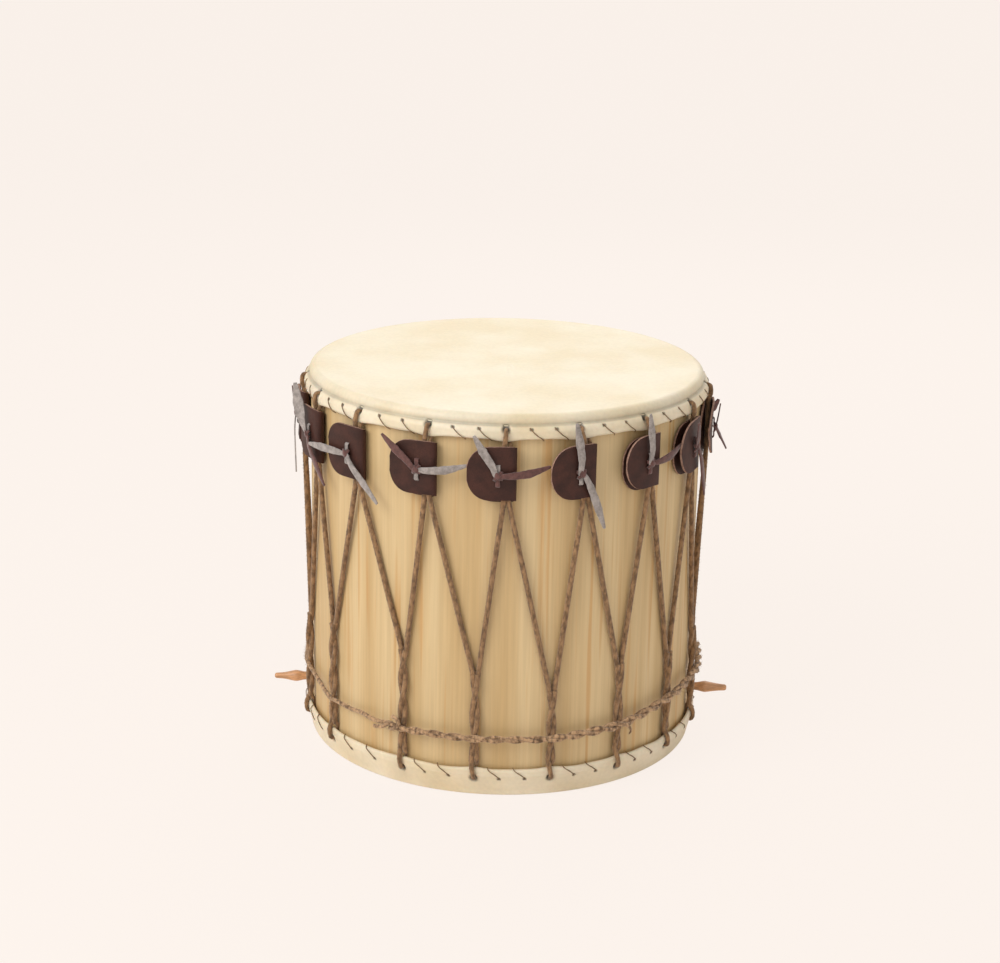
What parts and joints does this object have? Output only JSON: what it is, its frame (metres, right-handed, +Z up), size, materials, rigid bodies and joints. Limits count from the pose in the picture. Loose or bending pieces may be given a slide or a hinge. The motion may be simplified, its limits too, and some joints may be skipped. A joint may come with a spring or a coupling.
{
  "type": "medieval drum",
  "caption": "Rope-tensioned cylinder drum: wooden shell, two hide heads rolled on hoops, zigzag rope, sliding leather tugs and two side pegs.",
  "frame": {"origin": "middle of the lower head, on the surface that the drum stands on", "axes": "+Z up along the drum's axis, -Y towards the front seen in the picture, +X right"},
  "size_m": [0.4665, 0.4239, 0.378],
  "materials": {
    "pine": "planed and waxed",
    "rawhide": "scraped, dry and slightly translucent",
    "cane": "bare",
    "dark_jute": "laid, hairy",
    "pale_jute": "laid, fuzzy",
    "tug_leather": "vegetable tanned, dark brown, pale cut edge",
    "grey_suede": "rough split",
    "brown_lace": "rough split",
    "turned_wood": "turned and oiled"
  },
  "bodies": {
    "root": {"shell": "pine", "upper_skin": "rawhide", "lower_skin": "rawhide", "upper_flesh_hoop": "cane", "lower_flesh_hoop": "cane", "tension_rope": "dark_jute", "waist_rope": "pale_jute"},
    "tug_01_body": {"tug_01": "tug_leather", "lace_01": "brown_lace"},
    "tug_02_body": {"tug_02": "tug_leather", "lace_02": "grey_suede"},
    "tug_03_body": {"tug_03": "tug_leather", "lace_03": "brown_lace"},
    "tug_04_body": {"tug_04": "tug_leather", "lace_04": "grey_suede"},
    "tug_05_body": {"tug_05": "tug_leather", "lace_05": "brown_lace"},
    "tug_06_body": {"tug_06": "tug_leather", "lace_06": "grey_suede"},
    "tug_07_body": {"tug_07": "tug_leather", "lace_07": "brown_lace"},
    "tug_08_body": {"tug_08": "tug_leather", "lace_08": "grey_suede"},
    "tug_09_body": {"tug_09": "tug_leather", "lace_09": "brown_lace"},
    "tug_10_body": {"tug_10": "tug_leather", "lace_10": "grey_suede"},
    "tug_11_body": {"tug_11": "tug_leather", "lace_11": "brown_lace"},
    "tug_12_body": {"tug_12": "tug_leather", "lace_12": "grey_suede"},
    "tug_13_body": {"tug_13": "tug_leather", "lace_13": "brown_lace"},
    "tug_14_body": {"tug_14": "tug_leather", "lace_14": "grey_suede"},
    "tug_15_body": {"tug_15": "tug_leather", "lace_15": "brown_lace"},
    "tug_16_body": {"tug_16": "tug_leather", "lace_16": "grey_suede"},
    "tug_17_body": {"tug_17": "tug_leather", "lace_17": "brown_lace"},
    "left_peg_body": {"left_peg": "turned_wood"},
    "right_peg_body": {"right_peg": "turned_wood"}
  },
  "joints": [
    {"name": "tug_01_slide", "type": "slide", "parent": "root", "child": "tug_01_body", "axis": [0, 0, -1], "range_m": [0, 0.035], "deforming": ["tension_rope"]},
    {"name": "tug_02_slide", "type": "slide", "parent": "root", "child": "tug_02_body", "axis": [0, 0, -1], "range_m": [0, 0.035], "deforming": ["tension_rope"]},
    {"name": "tug_03_slide", "type": "slide", "parent": "root", "child": "tug_03_body", "axis": [0, 0, -1], "range_m": [0, 0.035], "deforming": ["tension_rope"]},
    {"name": "tug_04_slide", "type": "slide", "parent": "root", "child": "tug_04_body", "axis": [0, 0, -1], "range_m": [0, 0.035], "deforming": ["tension_rope"]},
    {"name": "tug_05_slide", "type": "slide", "parent": "root", "child": "tug_05_body", "axis": [0, 0, -1], "range_m": [0, 0.035], "deforming": ["tension_rope"]},
    {"name": "tug_06_slide", "type": "slide", "parent": "root", "child": "tug_06_body", "axis": [0, 0, -1], "range_m": [0, 0.035], "deforming": ["tension_rope"]},
    {"name": "tug_07_slide", "type": "slide", "parent": "root", "child": "tug_07_body", "axis": [0, 0, -1], "range_m": [0, 0.035], "deforming": ["tension_rope"]},
    {"name": "tug_08_slide", "type": "slide", "parent": "root", "child": "tug_08_body", "axis": [0, 0, -1], "range_m": [0, 0.035], "deforming": ["tension_rope"]},
    {"name": "tug_09_slide", "type": "slide", "parent": "root", "child": "tug_09_body", "axis": [0, 0, -1], "range_m": [0, 0.035], "deforming": ["tension_rope"]},
    {"name": "tug_10_slide", "type": "slide", "parent": "root", "child": "tug_10_body", "axis": [0, 0, -1], "range_m": [0, 0.035], "deforming": ["tension_rope"]},
    {"name": "tug_11_slide", "type": "slide", "parent": "root", "child": "tug_11_body", "axis": [0, 0, -1], "range_m": [0, 0.035], "deforming": ["tension_rope"]},
    {"name": "tug_12_slide", "type": "slide", "parent": "root", "child": "tug_12_body", "axis": [0, 0, -1], "range_m": [0, 0.035], "deforming": ["tension_rope"]},
    {"name": "tug_13_slide", "type": "slide", "parent": "root", "child": "tug_13_body", "axis": [0, 0, -1], "range_m": [0, 0.035], "deforming": ["tension_rope"]},
    {"name": "tug_14_slide", "type": "slide", "parent": "root", "child": "tug_14_body", "axis": [0, 0, -1], "range_m": [0, 0.035], "deforming": ["tension_rope"]},
    {"name": "tug_15_slide", "type": "slide", "parent": "root", "child": "tug_15_body", "axis": [0, 0, -1], "range_m": [0, 0.035], "deforming": ["tension_rope"]},
    {"name": "tug_16_slide", "type": "slide", "parent": "root", "child": "tug_16_body", "axis": [0, 0, -1], "range_m": [0, 0.035], "deforming": ["tension_rope"]},
    {"name": "tug_17_slide", "type": "slide", "parent": "root", "child": "tug_17_body", "axis": [0, 0, -1], "range_m": [0, 0.035], "deforming": ["tension_rope"]},
    {"name": "left_peg_turn", "type": "hinge", "parent": "root", "child": "left_peg_body", "pos_m": [-0.19338, -0.00675, 0.041], "axis": [-0.9994, -0.0349, 0], "continuous": true},
    {"name": "right_peg_turn", "type": "hinge", "parent": "root", "child": "right_peg_body", "pos_m": [0.19303, -0.0135, 0.041], "axis": [0.9976, -0.0698, 0], "continuous": true}
  ]
}
